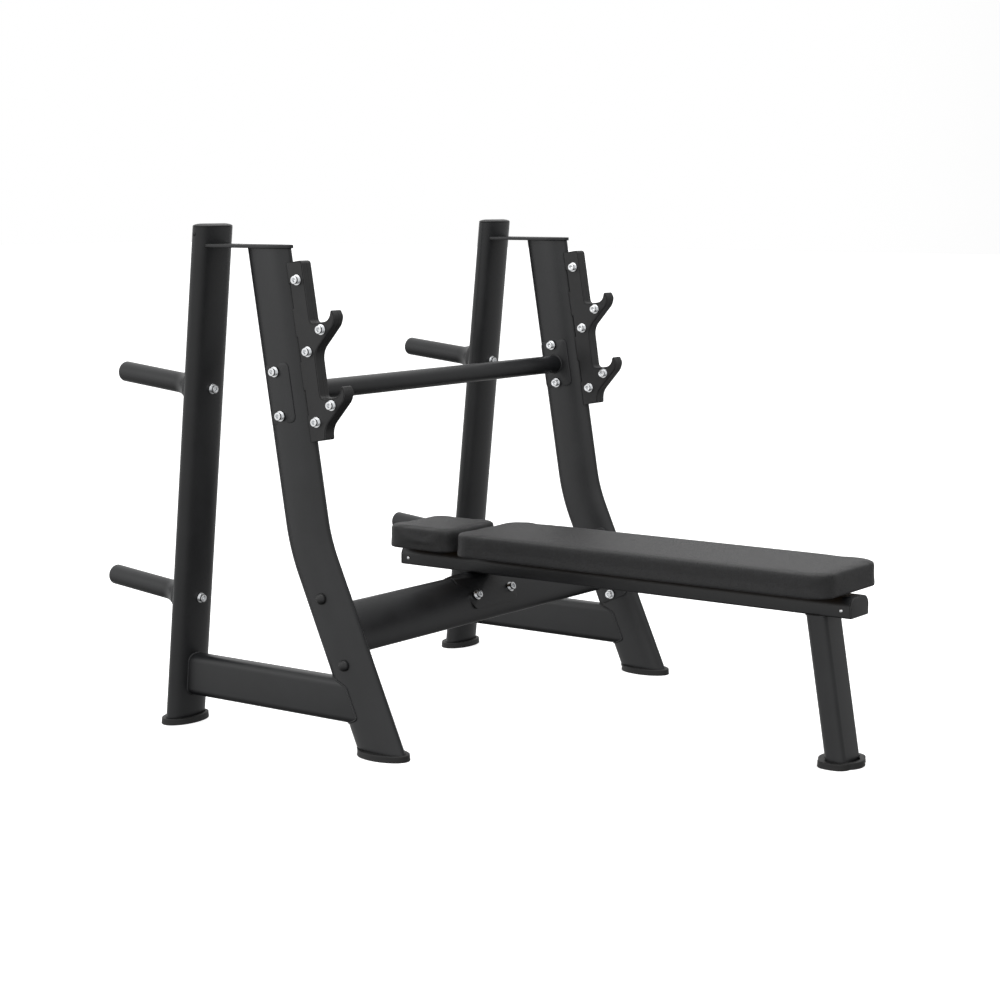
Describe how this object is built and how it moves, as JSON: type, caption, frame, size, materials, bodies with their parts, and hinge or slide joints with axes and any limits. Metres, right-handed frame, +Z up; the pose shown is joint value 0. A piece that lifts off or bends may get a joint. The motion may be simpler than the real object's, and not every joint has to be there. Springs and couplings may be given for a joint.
{
  "type": "olympic bench press",
  "caption": "Flat olympic bench with two leaning side frames, double bar hooks, rear plate pegs, a round and an oval crossbar and a padded bench on one leg.",
  "frame": {"origin": "centre of the footprint's bounding box, on the floor", "axes": "+X along the bench towards its foot end, +Y towards the left hand of a lifter lying face up, +Z up"},
  "size_m": [1.7382, 1.239, 1.184],
  "materials": {
    "powder_coat": "satin black powder coat on steel tube and plate",
    "bolt_chrome": "bright plated button-head bolts and washers",
    "foot_rubber": "moulded black rubber",
    "cap_plastic": "moulded black plastic end caps",
    "hook_urethane": "black moulded urethane covers",
    "pad_vinyl": "black grained vinyl over foam",
    "pad_board": "birch plywood backing board"
  },
  "bodies": {
    "root": {"rear_upright_right": "powder_coat", "front_upright_right": "powder_coat", "tie_plate_right": "powder_coat", "side_rail_right": "powder_coat", "hook_plate_right": "powder_coat", "weight_peg_upper_right": "powder_coat", "weight_peg_lower_right": "powder_coat", "rear_cap_right": "cap_plastic", "rear_foot_right": "foot_rubber", "front_foot_right": "foot_rubber", "hook_cover_outer_right": "hook_urethane", "hook_cover_inner_right": "hook_urethane", "peg_bolt_upper_right": "bolt_chrome", "peg_bolt_lower_right": "bolt_chrome", "saddle_bolt_right": "bolt_chrome", "hook_bolt_1_right": "bolt_chrome", "hook_bolt_2_right": "bolt_chrome", "hook_bolt_3_right": "bolt_chrome", "hook_bolt_4_right": "bolt_chrome", "hook_bolt_5_right": "bolt_chrome", "upper_crossbar_bolt_1_right": "bolt_chrome", "upper_crossbar_bolt_2_right": "bolt_chrome", "lower_crossbar_bolt_1_right": "bolt_chrome", "lower_crossbar_bolt_2_right": "bolt_chrome", "rear_upright_left": "powder_coat", "front_upright_left": "powder_coat", "tie_plate_left": "powder_coat", "side_rail_left": "powder_coat", "hook_plate_left": "powder_coat", "weight_peg_upper_left": "powder_coat", "weight_peg_lower_left": "powder_coat", "rear_cap_left": "cap_plastic", "rear_foot_left": "foot_rubber", "front_foot_left": "foot_rubber", "hook_cover_outer_left": "hook_urethane", "hook_cover_inner_left": "hook_urethane", "peg_bolt_upper_left": "bolt_chrome", "peg_bolt_lower_left": "bolt_chrome", "saddle_bolt_left": "bolt_chrome", "hook_bolt_1_left": "bolt_chrome", "hook_bolt_2_left": "bolt_chrome", "hook_bolt_3_left": "bolt_chrome", "hook_bolt_4_left": "bolt_chrome", "hook_bolt_5_left": "bolt_chrome", "upper_crossbar_bolt_1_left": "bolt_chrome", "upper_crossbar_bolt_2_left": "bolt_chrome", "lower_crossbar_bolt_1_left": "bolt_chrome", "lower_crossbar_bolt_2_left": "bolt_chrome", "upper_crossbar": "powder_coat", "lower_crossbar": "powder_coat", "saddle_bracket": "powder_coat", "bench_beam": "powder_coat", "bench_leg": "powder_coat", "beam_cap_head": "cap_plastic", "beam_cap_foot": "cap_plastic", "leg_foot": "foot_rubber", "main_pad": "pad_vinyl", "main_pad_board": "pad_board", "head_pad": "pad_vinyl", "head_pad_board": "pad_board"}
  },
  "joints": []
}
